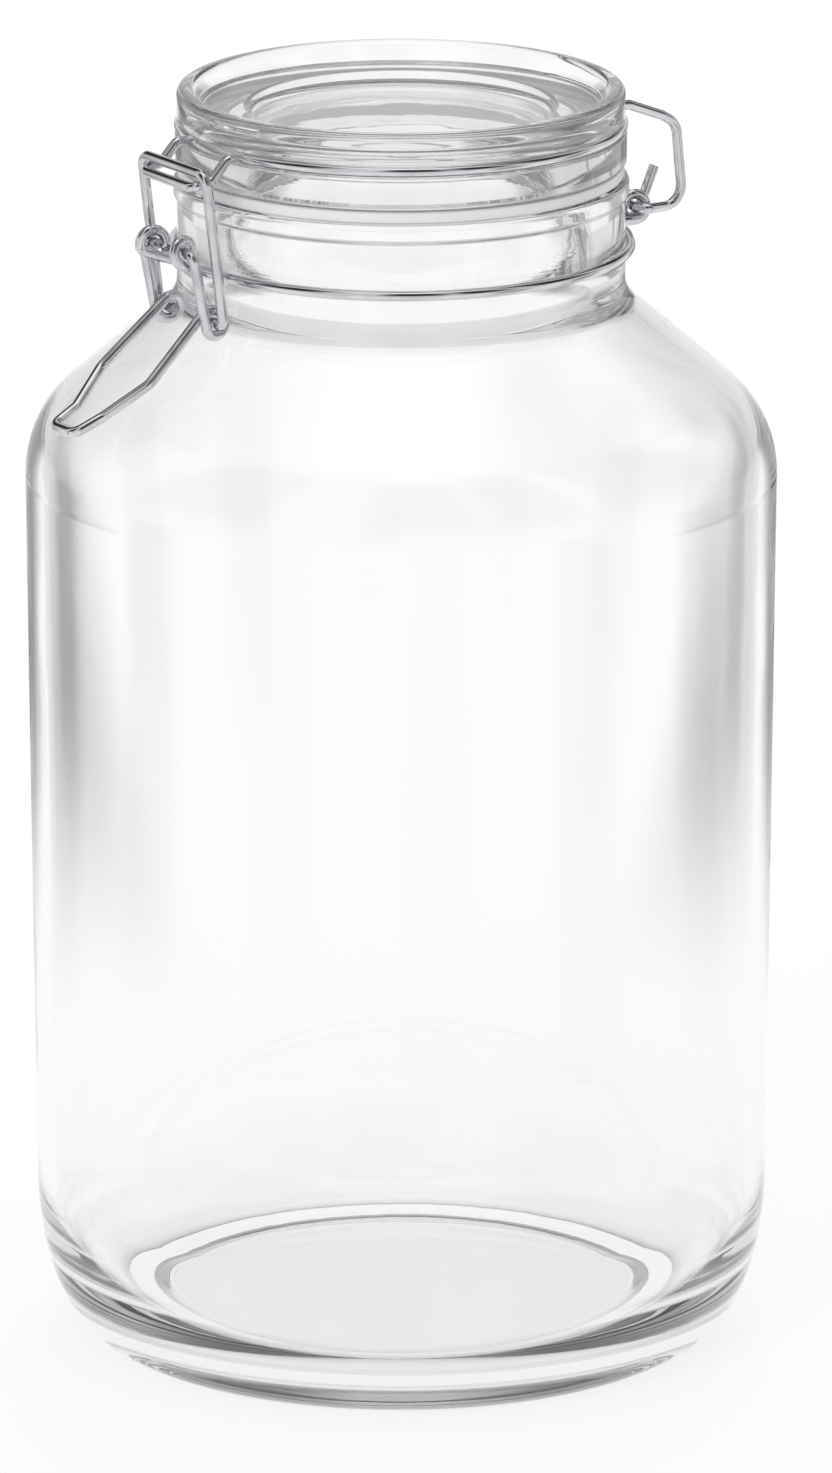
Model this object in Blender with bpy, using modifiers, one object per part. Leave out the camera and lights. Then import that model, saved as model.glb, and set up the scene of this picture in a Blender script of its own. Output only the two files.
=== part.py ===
"""Glass storage jar with a bail clasp: a turned jar and lid, a flat seal and four bent wires.

Metres, +Z up. The clasp is at -Y and the lid's hinge at +Y. The origin is on the base plane, at the middle of
the closed jar's whole footprint, handle included, so the jar's own axis stands a little towards +Y.
Places on the wires are given as (side, out, up): side along X, out from the jar's axis, up from the base.
"""
import math

import bpy
from mathutils import Matrix, Vector

# Jar body
BODY_RADIUS = 0.08675
BODY_TAPER = 0.00165
SHOULDER_HEIGHT = 0.20485
SHOULDER_BEND = 0.0273
CONE_RISE = math.radians(40.4)
HEEL_WIDTH = 0.0165
HEEL_HEIGHT = 0.0365
WALL = 0.0040
FLOOR = 0.0072
INNER_HEEL_WIDTH = 0.0208
FOOT_WIDTH = 0.0086
PUSH_UP_DEPTH = 0.0022
PUSH_UP_RUN = 0.0045
PUSH_UP_BEND = 0.0060

# Neck and lip, with heights above the foot of the neck
NECK_RADIUS = 0.0515
NECK_FOOT_BEND = 0.0050
NECK_WALL = 0.0083
NECK_HEIGHT = 0.0271
LIP_HEIGHT = 0.0036
LIP_OVERHANG = 0.0008
LIP_BEND = 0.0012
BAND_RISE = 0.0112

# Clearances
GAP = 0.0003
TURNING_GAP = 0.00035
REST_GAP = 0.0003

# Seal
SEAL_THICKNESS = 0.0028
SEAL_INSET = 0.0007
SEAL_BEND = 0.0006

# Lid
LID_FLANGE_OVERHANG = 0.0003
LID_FLANGE_BEND = 0.0005
LID_RIM_INSET = 0.0004
LID_HEIGHT = 0.0175
LID_RIM_WIDTH = 0.0039
LID_RIM_BEND = 0.0017
LID_WELL_DEPTH = 0.0045
LID_RECESS_INSET = 0.0170
LID_RECESS_DEPTH = 0.0016
LID_RECESS_BEND = 0.0012
LID_WIRE_RISE = 0.0089
LID_WIRE_INSET = 0.0006
SPIGOT_CLEARANCE = 0.0022
SPIGOT_WIDTH = 0.0055
SPIGOT_DEPTH = 0.0056
SPIGOT_BEND = 0.0014
LID_CROWN = 0.0065

# Wires
BAND_WIRE_RADIUS = 0.0012
LEVER_WIRE_RADIUS = 0.00125
COIL_RADIUS = 0.00285
COIL_PITCH = 0.0027
WIRE_BEND = 0.0020
BAND_STAND = 0.0011

# Neck band: eyelets at the clasp and at the hinge, as offsets from the band's ring
CLASP_EYELET_SIDE = 0.0067
CLASP_EYELET_REACH = 0.0104
CLASP_EYELET_LIFT = 0.0070
CLASP_EYELET_END = math.radians(190)
BRIDGE_DROP = 0.0014
HINGE_EYELET_SIDE = 0.0092
HINGE_EYELET_REACH = 0.0056
HINGE_EYELET_LIFT = 0.0029
HINGE_TAIL_LEAN = math.radians(66)
HINGE_TAIL_LENGTH = 0.0105

# Lid wire: a tab at the clasp and two arms at the hinge, as offsets from the ring in the lid's groove
EXIT_RUN = 0.0030
TAB_SIDE = 0.0108
TAB_KNEE_REACH = 0.0071
TAB_KNEE_DROP = 0.0043
TAB_REACH = 0.0120
TAB_DROP = 0.0055
ARM_KNEE_REACH = 0.0122
ARM_KNEE_DROP = 0.0036
ARM_CORNER_REACH = 0.0162
ARM_CORNER_DROP = 0.0059
ARM_FOOT_REACH = 0.0108
ARM_BEND = 0.0035
AXLE_PAST = 0.0006

# Lever: the loops that carry the bail, and the handle, as offsets from the clasp's eyelets and the loops
LOOP_REACH = 0.0062
LOOP_DROP = 0.0165
HANDLE_KNEE_REACH = 0.0177
HANDLE_KNEE_DROP = 0.0118
HANDLE_KNEE_SIDE = 0.0103
HANDLE_WAIST_REACH = 0.0273
HANDLE_WAIST_DROP = 0.0190
HANDLE_WAIST_SIDE = 0.0057
HANDLE_TIP_REACH = 0.0342
HANDLE_TIP_DROP = 0.0222
HANDLE_TIP_SIDE = 0.0046
HANDLE_BEND = 0.0050
HANDLE_TIP_BEND = 0.0040

# Bail
BAIL_REST_SHARE = 0.55
BAIL_BEND = 0.0032

# Facets
JAR_STEPS = 56
LID_STEPS = 48
SEAL_STEPS = 48
RING_STEPS = 48
ARC_STEP = math.radians(46)
MAX_CHORD = 0.0035
HEEL_STEPS = 6
BEND_STEP = math.radians(32)
MERGE = 0.00001

# Radii worked out from the sizes
BODY_FOOT_RADIUS = BODY_RADIUS - BODY_TAPER
PUSH_UP_RADIUS = BODY_FOOT_RADIUS - HEEL_WIDTH - FOOT_WIDTH
MOUTH_RADIUS = NECK_RADIUS - NECK_WALL
BAND_RING_RADIUS = NECK_RADIUS + BAND_STAND
LID_FLANGE_RADIUS = NECK_RADIUS + LID_FLANGE_OVERHANG
LID_RIM_RADIUS = LID_FLANGE_RADIUS - LID_RIM_INSET
LID_RECESS_RADIUS = LID_RIM_RADIUS - LID_RECESS_INSET
LID_WIRE_RING_RADIUS = LID_RIM_RADIUS - LID_WIRE_INSET
SPIGOT_RADIUS = MOUTH_RADIUS - SPIGOT_CLEARANCE
SEAL_OUTER_RADIUS = LID_FLANGE_RADIUS - SEAL_INSET

# Places worked out from the sizes
SHOULDER_CORNER = SHOULDER_HEIGHT + SHOULDER_BEND * math.tan((math.pi / 2 - CONE_RISE) / 2)
NECK_FOOT = SHOULDER_CORNER + (BODY_RADIUS - NECK_RADIUS) * math.tan(CONE_RISE)
BAND_UP = NECK_FOOT + BAND_RISE
MOUTH_UP = NECK_FOOT + NECK_HEIGHT
SEAL_UP = MOUTH_UP + GAP
LID_UP = SEAL_UP + SEAL_THICKNESS + GAP
LID_WIRE_UP = LID_UP + LID_WIRE_RISE
EYELET_OUT = BAND_RING_RADIUS + CLASP_EYELET_REACH
EYELET_UP = BAND_UP + CLASP_EYELET_LIFT
HINGE_OUT = BAND_RING_RADIUS + HINGE_EYELET_REACH
HINGE_UP = BAND_UP + HINGE_EYELET_LIFT
LOOP_OUT = EYELET_OUT - LOOP_REACH
LOOP_UP = EYELET_UP - LOOP_DROP
LEVER_SIDE = CLASP_EYELET_SIDE + COIL_PITCH / 2 + BAND_WIRE_RADIUS + TURNING_GAP + LEVER_WIRE_RADIUS
LOOP_INNER_SIDE = LEVER_SIDE - COIL_PITCH
BAIL_SIDE = LEVER_SIDE + LEVER_WIRE_RADIUS + TURNING_GAP + LEVER_WIRE_RADIUS
HANDLE_OVERHANG = LOOP_OUT + HANDLE_TIP_REACH + LEVER_WIRE_RADIUS - BODY_RADIUS
JAR_AXIS = Vector((0, HANDLE_OVERHANG / 2, 0))


def clear_scene():
    """Remove what the scene holds."""
    for item in list(bpy.data.objects):
        bpy.data.objects.remove(item, do_unlink=True)


def material(name, colour, roughness, metallic=0.0, transmission=0.0):
    """A Principled BSDF material."""
    made = bpy.data.materials.new(name)
    made.use_nodes = True
    made.diffuse_color = (*colour, 1.0)
    shader = made.node_tree.nodes["Principled BSDF"]
    shader.inputs["Base Color"].default_value = (*colour, 1.0)
    shader.inputs["Roughness"].default_value = roughness
    shader.inputs["Metallic"].default_value = metallic
    shader.inputs["Transmission Weight"].default_value = transmission
    return made


def rounded(corners, step):
    """A path through corners, each a (place, bend radius) pair, with the bends as arcs."""
    places = [Vector(place) for place, _ in corners]
    path = [places[0]]
    for before, here, after, (_, bend) in zip(places, places[1:], places[2:], corners[1:]):
        back = (before - here).normalized()
        ahead = (after - here).normalized()
        turn = math.pi - back.angle(ahead)
        if not bend or turn < step / 4:
            path.append(here)
            continue
        room = min((before - here).length, (after - here).length) / 2
        setback = min(bend * math.tan(turn / 2), room)
        radius = setback / math.tan(turn / 2)
        centre = here + (back + ahead).normalized() * (radius / math.cos(turn / 2))
        spoke = here + back * setback - centre
        spin = spoke.cross(-back)
        count = max(2, math.ceil(turn / step), math.ceil(turn * radius / MAX_CHORD))
        for index in range(count + 1):
            path.append(centre + Matrix.Rotation(turn * index / count, 3, spin) @ spoke)
    path.append(places[-1])
    return path


def profile(corners):
    """Turned outline from (radius, height, bend) corners, as points in the XZ plane."""
    return rounded([((radius, 0, height), bend) for radius, height, bend in corners], ARC_STEP)


def quarter_ellipse(centre, width, height, start, end, steps):
    """Points from angle start to angle end on an ellipse round centre, both ends included."""
    angles = [start + (end - start) * index / steps for index in range(steps + 1)]
    return [(centre[0] + width * math.cos(a), centre[1] + height * math.sin(a), 0) for a in angles]


def groove(ring_radius, ring_up, wire_radius, above_radius, below_radius, steps=4):
    """The hollow that a ring of wire lies in, from its upper lip down to its lower one."""
    reach = wire_radius + GAP
    top = math.acos((ring_radius - above_radius) / reach)
    bottom = math.acos((ring_radius - below_radius) / reach)
    angles = [top - (top + bottom) * index / steps for index in range(steps + 1)]
    return [(ring_radius - reach * math.cos(a), ring_up + reach * math.sin(a), 0) for a in angles]


def turned(name, points, steps, closed=False):
    """A solid of revolution round Z from an outline that runs down its outer side."""
    mesh = bpy.data.meshes.new(name)
    edges = [(index, index + 1) for index in range(len(points) - 1)]
    if closed:
        edges.append((len(points) - 1, 0))
    mesh.from_pydata(points, edges, [])
    made = bpy.data.objects.new(name, mesh)
    screw = made.modifiers.new("turn", "SCREW")
    screw.axis = "Z"
    screw.steps = steps
    screw.render_steps = steps
    screw.use_merge_vertices = True
    screw.merge_threshold = MERGE
    screw.use_smooth_shade = True
    return made


def at_clasp(place):
    """A (side, out, up) place at the clasp, measured from the jar's axis."""
    side, out, up = place
    return Vector((side, -out, up))


def at_hinge(place):
    """A (side, out, up) place at the hinge, measured from the jar's axis."""
    side, out, up = place
    return Vector((side, out, up))


def wire(name, points, radius, pivot):
    """A round wire with closed ends, with its origin at pivot."""
    data = bpy.data.curves.new(name, "CURVE")
    data.dimensions = "3D"
    data.bevel_depth = radius
    data.bevel_resolution = 2
    data.use_fill_caps = True
    spline = data.splines.new("POLY")
    spline.points.add(len(points) - 1)
    for spot, place in zip(spline.points, points):
        spot.co = (*(place - pivot), 1)
    return bpy.data.objects.new(name, data)


def both_sides(half):
    """A symmetric path: half of it on +X, from its free end to the middle, then its mirror image."""
    return half + [Vector((-place.x, place.y, place.z)) for place in reversed(half)]


def ring_run(radius, up, start_side, end_side):
    """Points round the +X half of a ring, from start_side at the hinge to end_side at the clasp."""
    start = math.pi / 2 - math.asin(start_side / radius)
    end = -math.pi / 2 + math.asin(end_side / radius)
    count = math.ceil(RING_STEPS * (start - end) / math.tau)
    angles = [start + (end - start) * index / count for index in range(count + 1)]
    return [Vector((radius * math.cos(a), radius * math.sin(a), up)) for a in angles]


def tangent_angle(point, centre, turning):
    """Angle on the coil round centre where a wire that passes through point touches it.

    turning is +1 where the wire goes on round the coil from out to up, and -1 where it goes the other way.
    """
    out = centre[0] - point[0]
    up = centre[1] - point[1]
    heading = math.atan2(up, out) - turning * math.asin(COIL_RADIUS / math.hypot(out, up))
    return heading - turning * math.pi / 2


def coil(centre, start, wrap, start_side, end_side, place):
    """Points round a coil on a side-to-side axis, with the side drifting as it turns."""
    count = math.ceil(abs(wrap) / BEND_STEP)
    points = []
    for index in range(count + 1):
        share = index / count
        angle = start + wrap * share
        out = centre[0] + COIL_RADIUS * math.cos(angle)
        up = centre[1] + COIL_RADIUS * math.sin(angle)
        points.append(place((start_side + (end_side - start_side) * share, out, up)))
    return points


def ring_out(radius, side):
    """How far out a ring is where it crosses side."""
    return math.sqrt(radius ** 2 - side ** 2)


def glass_jar():
    """Round body with a soft heel, a shoulder arc and cone, a grooved neck and a beaded lip."""
    inner_wall = BODY_FOOT_RADIUS - WALL
    inner_body = BODY_RADIUS - WALL
    cone_step = WALL / math.cos(CONE_RISE)
    inner_corner = SHOULDER_CORNER - cone_step + WALL * math.tan(CONE_RISE)
    inner_neck_foot = inner_corner + (inner_body - MOUTH_RADIUS) * math.tan(CONE_RISE)
    bead = NECK_RADIUS + LIP_OVERHANG
    inside = [
        (0, FLOOR, 0),
        *quarter_ellipse((inner_wall - INNER_HEEL_WIDTH, HEEL_HEIGHT), INNER_HEEL_WIDTH, HEEL_HEIGHT - FLOOR,
                         -math.pi / 2, 0, HEEL_STEPS),
        (inner_body, inner_corner, SHOULDER_BEND - WALL),
        (MOUTH_RADIUS, inner_neck_foot, NECK_FOOT_BEND),
        (MOUTH_RADIUS, MOUTH_UP, LIP_BEND),
    ]
    outside = [
        (bead, MOUTH_UP, LIP_BEND),
        (bead, MOUTH_UP - LIP_HEIGHT, LIP_BEND),
        (NECK_RADIUS, MOUTH_UP - LIP_HEIGHT - LIP_OVERHANG, 0),
        *groove(BAND_RING_RADIUS, BAND_UP, BAND_WIRE_RADIUS, NECK_RADIUS, NECK_RADIUS, 3),
        (NECK_RADIUS, NECK_FOOT, NECK_FOOT_BEND),
        (BODY_RADIUS, SHOULDER_CORNER, SHOULDER_BEND),
        *quarter_ellipse((BODY_FOOT_RADIUS - HEEL_WIDTH, HEEL_HEIGHT), HEEL_WIDTH, HEEL_HEIGHT,
                         0, -math.pi / 2, HEEL_STEPS),
        (PUSH_UP_RADIUS, 0, 0),
        (PUSH_UP_RADIUS - PUSH_UP_RUN, PUSH_UP_DEPTH, PUSH_UP_BEND),
        (0, PUSH_UP_DEPTH, 0),
    ]
    return turned("glass_jar", profile(inside + outside), JAR_STEPS)


def glass_lid():
    """Disc with a raised rim, a shallow well and recess on top, a wire groove and a spigot below."""
    top = LID_UP + LID_HEIGHT
    well = top - LID_WELL_DEPTH
    recess = well - LID_RECESS_DEPTH
    rim_inner = LID_RIM_RADIUS - LID_RIM_WIDTH
    spigot_foot = LID_UP - SPIGOT_DEPTH
    spigot_inner = SPIGOT_RADIUS - SPIGOT_WIDTH
    corners = [
        (0, recess, 0),
        (LID_RECESS_RADIUS, recess, LID_RECESS_BEND),
        (LID_RECESS_RADIUS + LID_RECESS_BEND, well, LID_RECESS_BEND),
        (rim_inner - LID_RIM_BEND, well, LID_RIM_BEND),
        (rim_inner, top, LID_RIM_BEND),
        (LID_RIM_RADIUS, top, LID_RIM_BEND),
        *groove(LID_WIRE_RING_RADIUS, LID_WIRE_UP, BAND_WIRE_RADIUS, LID_RIM_RADIUS, LID_WIRE_RING_RADIUS),
        (LID_FLANGE_RADIUS, LID_WIRE_UP - BAND_WIRE_RADIUS - GAP, LID_FLANGE_BEND),
        (LID_FLANGE_RADIUS, LID_UP, LIP_BEND),
        (SPIGOT_RADIUS, LID_UP, 0),
        (SPIGOT_RADIUS, spigot_foot, SPIGOT_BEND),
        (spigot_inner, spigot_foot, SPIGOT_BEND),
        (spigot_inner - SPIGOT_BEND, recess - LID_CROWN, SPIGOT_BEND),
        (0, recess - LID_CROWN, 0),
    ]
    return turned("glass_lid", profile(corners), LID_STEPS)


def gasket():
    """Flat ring of rubber that fits round the lid's spigot."""
    inner = SPIGOT_RADIUS + GAP
    middle = (inner + SEAL_OUTER_RADIUS) / 2
    top = SEAL_UP + SEAL_THICKNESS
    corners = [
        (middle, top, 0),
        (SEAL_OUTER_RADIUS, top, SEAL_BEND),
        (SEAL_OUTER_RADIUS, SEAL_UP, SEAL_BEND),
        (inner, SEAL_UP, 0),
        (inner, top, 0),
        (middle, top, 0),
    ]
    return turned("gasket", profile(corners)[:-1], SEAL_STEPS, closed=True)


def neck_band():
    """One wire round the neck, coiled into two eyelets at the clasp and two with cut tails at the hinge."""
    hinge = (HINGE_OUT, HINGE_UP)
    clasp = (EYELET_OUT, EYELET_UP)
    hinge_side = HINGE_EYELET_SIDE + COIL_PITCH / 2
    clasp_side = CLASP_EYELET_SIDE + COIL_PITCH / 2
    hinge_start = tangent_angle((ring_out(BAND_RING_RADIUS, hinge_side), BAND_UP), hinge, 1)
    clasp_start = tangent_angle((ring_out(BAND_RING_RADIUS, clasp_side), BAND_UP), clasp, 1)
    hinge_wrap = math.tau + HINGE_TAIL_LEAN - math.pi / 2 - hinge_start
    hinge_drift = COIL_PITCH * hinge_wrap / math.tau
    hinge_coil = coil(hinge, hinge_start, hinge_wrap, hinge_side, hinge_side - hinge_drift, at_hinge)
    tail = HINGE_TAIL_LENGTH * Vector((0, math.cos(HINGE_TAIL_LEAN), math.sin(HINGE_TAIL_LEAN)))
    clasp_wrap = CLASP_EYELET_END - clasp_start
    clasp_coil = coil(clasp, clasp_start, clasp_wrap, clasp_side, clasp_side - COIL_PITCH, at_clasp)
    bridge = clasp_coil[-1] - Vector((0, 0, BRIDGE_DROP))
    ring = ring_run(BAND_RING_RADIUS, BAND_UP, hinge_side, clasp_side)
    corners = [(hinge_coil[-1] + tail, 0)]
    corners += [(place, 0) for place in reversed(hinge_coil)]
    corners += [(ring[0], WIRE_BEND)]
    corners += [(place, 0) for place in ring[1:-1]]
    corners += [(ring[-1], WIRE_BEND)]
    corners += [(place, 0) for place in clasp_coil]
    corners += [(bridge, BRIDGE_DROP), (Vector((0, bridge.y, bridge.z)), 0)]
    half = rounded(corners, BEND_STEP)[:-1]
    return wire("neck_band", both_sides(half), BAND_WIRE_RADIUS, Vector())


def arm_side():
    """How far to the side the lid wire's arms run, clear of the neck band's hinge eyelets."""
    return HINGE_EYELET_SIDE + COIL_PITCH / 2 + BAND_WIRE_RADIUS + TURNING_GAP + BAND_WIRE_RADIUS


def tab_places():
    """The tab's knee and end bar, as (out, up) pairs."""
    knee = (LID_WIRE_RING_RADIUS + TAB_KNEE_REACH, LID_WIRE_UP - TAB_KNEE_DROP)
    end = (LID_WIRE_RING_RADIUS + TAB_REACH, LID_WIRE_UP - TAB_DROP)
    return knee, end


def lid_wire(pivot):
    """One wire in the lid's groove, with a tab at the clasp and two arms down to the hinge."""
    side = arm_side()
    inner_side = HINGE_EYELET_SIDE - COIL_PITCH / 2 - BAND_WIRE_RADIUS - AXLE_PAST
    exit_out = LID_WIRE_RING_RADIUS + EXIT_RUN
    ring = ring_run(LID_WIRE_RING_RADIUS, LID_WIRE_UP, side, TAB_SIDE)
    knee, end = tab_places()
    corners = [
        (at_hinge((inner_side, HINGE_OUT, HINGE_UP)), 0),
        (at_hinge((side, HINGE_OUT, HINGE_UP)), WIRE_BEND),
        (at_hinge((side, HINGE_OUT + ARM_FOOT_REACH, HINGE_UP)), ARM_BEND),
        (at_hinge((side, LID_WIRE_RING_RADIUS + ARM_CORNER_REACH, LID_WIRE_UP - ARM_CORNER_DROP)), ARM_BEND),
        (at_hinge((side, LID_WIRE_RING_RADIUS + ARM_KNEE_REACH, LID_WIRE_UP - ARM_KNEE_DROP)), ARM_BEND),
        (at_hinge((side, exit_out, LID_WIRE_UP)), WIRE_BEND),
        (ring[0], WIRE_BEND),
        *[(place, 0) for place in ring[1:-1]],
        (ring[-1], WIRE_BEND),
        (at_clasp((TAB_SIDE, exit_out, LID_WIRE_UP)), WIRE_BEND),
        (at_clasp((TAB_SIDE, *knee)), WIRE_BEND),
        (at_clasp((TAB_SIDE, *end)), WIRE_BEND),
        (at_clasp((0, *end)), 0),
    ]
    half = rounded(corners, BEND_STEP)[:-1]
    return wire("lid_wire", both_sides(half), BAND_WIRE_RADIUS, pivot)


def lever(pivot):
    """One wire: pins in the neck band's eyelets, a loop each side for the bail, and the handle."""
    eyelet = (EYELET_OUT, EYELET_UP)
    loop = (LOOP_OUT, LOOP_UP)
    knee = (LOOP_OUT + HANDLE_KNEE_REACH, LOOP_UP - HANDLE_KNEE_DROP)
    start = tangent_angle(eyelet, loop, -1)
    leave = tangent_angle(knee, loop, 1)
    wrap = -((start - leave) % math.tau)
    pin_end = CLASP_EYELET_SIDE - COIL_PITCH / 2 - BAND_WIRE_RADIUS
    corners = [(at_clasp((pin_end, *eyelet)), 0), (at_clasp((LEVER_SIDE, *eyelet)), WIRE_BEND)]
    corners += [(place, 0) for place in coil(loop, start, wrap, LEVER_SIDE, LOOP_INNER_SIDE, at_clasp)]
    corners += [
        (at_clasp((HANDLE_KNEE_SIDE, *knee)), HANDLE_BEND),
        (at_clasp((HANDLE_WAIST_SIDE, LOOP_OUT + HANDLE_WAIST_REACH, LOOP_UP - HANDLE_WAIST_DROP)), HANDLE_BEND),
        (at_clasp((HANDLE_TIP_SIDE, LOOP_OUT + HANDLE_TIP_REACH, LOOP_UP - HANDLE_TIP_DROP)), HANDLE_TIP_BEND),
        (at_clasp((0, LOOP_OUT + HANDLE_TIP_REACH, LOOP_UP - HANDLE_TIP_DROP)), 0),
    ]
    half = rounded(corners, BEND_STEP)[:-1]
    return wire("lever", both_sides(half), LEVER_WIRE_RADIUS, pivot)


def bail(pivot):
    """One wire from loop to loop over the lid's tab."""
    knee, end = tab_places()
    along = Vector((end[0] - knee[0], end[1] - knee[1])).normalized()
    rest = Vector(knee).lerp(Vector(end), BAIL_REST_SHARE)
    lift = BAND_WIRE_RADIUS + LEVER_WIRE_RADIUS + REST_GAP
    bar = rest + Vector((-along.y, along.x)) * lift
    foot_end = LOOP_INNER_SIDE - LEVER_WIRE_RADIUS
    corners = [
        (at_clasp((foot_end, LOOP_OUT, LOOP_UP)), 0),
        (at_clasp((BAIL_SIDE, LOOP_OUT, LOOP_UP)), WIRE_BEND),
        (at_clasp((BAIL_SIDE, *bar)), BAIL_BEND),
        (at_clasp((0, *bar)), 0),
    ]
    half = rounded(corners, BEND_STEP)[:-1]
    return wire("bail", both_sides(half), LEVER_WIRE_RADIUS, pivot)


def pivot_empty(name, place, collection, parent=None):
    """An empty at a place measured from its parent."""
    made = bpy.data.objects.new(name, None)
    made.location = place
    made.parent = parent
    made.empty_display_size = COIL_RADIUS
    collection.objects.link(made)
    return made


def main():
    """Model the jar and put its pieces under their pivots."""
    clear_scene()
    jar_parts = bpy.data.collections.new("glass_storage_jar")
    bpy.context.scene.collection.children.link(jar_parts)
    glass = material("clear_glass", (0.93, 0.96, 0.95), 0.03, transmission=1.0)
    rubber = material("pale_rubber", (0.88, 0.88, 0.86), 0.45)
    steel = material("bright_wire", (0.72, 0.72, 0.74), 0.16, metallic=1.0)

    hinge = at_hinge((0, HINGE_OUT, HINGE_UP))
    eyelets = at_clasp((0, EYELET_OUT, EYELET_UP))
    loops = at_clasp((0, LOOP_OUT, LOOP_UP))
    jar_axis = pivot_empty("jar_axis", JAR_AXIS, jar_parts)
    lid_pivot = pivot_empty("lid_pivot", hinge, jar_parts, jar_axis)
    lever_pivot = pivot_empty("lever_pivot", eyelets, jar_parts, jar_axis)
    bail_pivot = pivot_empty("bail_pivot", loops - eyelets, jar_parts, lever_pivot)

    pieces = [
        (glass_jar(), glass, jar_axis, Vector()),
        (neck_band(), steel, jar_axis, Vector()),
        (glass_lid(), glass, lid_pivot, -hinge),
        (gasket(), rubber, lid_pivot, -hinge),
        (lid_wire(hinge), steel, lid_pivot, Vector()),
        (lever(eyelets), steel, lever_pivot, Vector()),
        (bail(loops), steel, bail_pivot, Vector()),
    ]
    for piece, finish, parent, place in pieces:
        piece.data.materials.append(finish)
        piece.parent = parent
        piece.location = place
        jar_parts.objects.link(piece)


main()
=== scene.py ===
"""Studio picture of a glass storage jar with a wire bail clasp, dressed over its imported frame.

Lengths are metres. Places on the wires are (side, out, up): side along X, out from the jar's axis, up from
the base.
"""
from __future__ import annotations

import logging
import math
from dataclasses import dataclass, field
from enum import Enum
from typing import Any, Iterable, Sequence

import bpy
from mathutils import Matrix, Vector


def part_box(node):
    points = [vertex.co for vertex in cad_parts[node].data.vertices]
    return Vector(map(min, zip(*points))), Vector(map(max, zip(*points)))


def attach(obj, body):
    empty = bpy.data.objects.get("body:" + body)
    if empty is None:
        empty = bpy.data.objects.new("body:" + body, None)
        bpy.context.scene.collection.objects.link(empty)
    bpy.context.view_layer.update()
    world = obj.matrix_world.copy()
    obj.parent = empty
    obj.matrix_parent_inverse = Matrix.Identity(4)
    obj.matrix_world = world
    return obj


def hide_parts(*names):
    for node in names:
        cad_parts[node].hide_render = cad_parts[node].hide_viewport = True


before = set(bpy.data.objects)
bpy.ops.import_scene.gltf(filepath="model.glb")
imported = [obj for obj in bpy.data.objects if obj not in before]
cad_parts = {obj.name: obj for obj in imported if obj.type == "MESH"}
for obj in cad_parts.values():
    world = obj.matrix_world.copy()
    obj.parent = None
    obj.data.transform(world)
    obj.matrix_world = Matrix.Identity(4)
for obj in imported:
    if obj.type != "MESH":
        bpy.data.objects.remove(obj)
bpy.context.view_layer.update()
LOG = logging.getLogger("jar")
MM = 0.001
STRAIGHT = math.radians(2)
LEAST_ARC_PIECES = 3
Corner = tuple[Sequence[float], float]


class End(Enum):
    """The two ends of the jar's middle plane, as the sign of Y on each."""

    CLASP = -1.0
    HINGE = 1.0

    def place(self, side: float, out: float, up: float) -> Vector:
        """A place at this end, measured from the jar's axis on the base plane."""
        return Vector((side, self.value * out, up))


class Wear(Enum):
    """How strongly the dull patches show on a wire."""

    EVEN = 0.3
    HANDLED = 0.55


@dataclass(frozen=True)
class Clearances:
    """Gaps between pieces that touch or turn."""

    seated: float = 0.3 * MM
    turning: float = 0.35 * MM
    resting: float = 0.3 * MM


@dataclass(frozen=True)
class WireSizes:
    """The two wires, their coils and their common bends."""

    band_radius: float = 1.2 * MM
    lever_radius: float = 1.25 * MM
    coil_radius: float = 2.85 * MM
    coil_pitch: float = 2.7 * MM
    bend: float = 2.0 * MM


GAPS = Clearances()
WIRES = WireSizes()


def linear_colour(code: str) -> tuple[float, float, float, float]:
    """Turn an sRGB hex colour into the linear values that shaders use.

    Args:
        code: Six hex digits, with or without a hash sign.

    Returns:
        Linear red, green and blue, and an alpha of one.
    """
    digits = code.lstrip("#")
    shares = [int(digits[start:start + 2], 16) / 255 for start in (0, 2, 4)]
    red, green, blue = (s / 12.92 if s <= 0.04045 else ((s + 0.055) / 1.055) ** 2.4 for s in shares)
    return red, green, blue, 1.0


def add_node(tree: bpy.types.NodeTree, kind: str, settings: dict[str, Any] | None = None,
             values: dict[str, Any] | None = None, links: dict[str, Any] | None = None) -> bpy.types.Node:
    """Add a node with its settings, socket values and incoming links.

    Args:
        tree: The node tree to add to.
        kind: The node's type name.
        settings: Attributes to set on the node.
        values: Values by input name or number.
        links: Output sockets by input name or number.

    Returns:
        The new node.
    """
    node = tree.nodes.new(kind)
    for name, value in (settings or {}).items():
        setattr(node, name, value)
    for name, value in (values or {}).items():
        node.inputs[name].default_value = value
    for name, socket in (links or {}).items():
        tree.links.new(socket, node.inputs[name])
    return node


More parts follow.
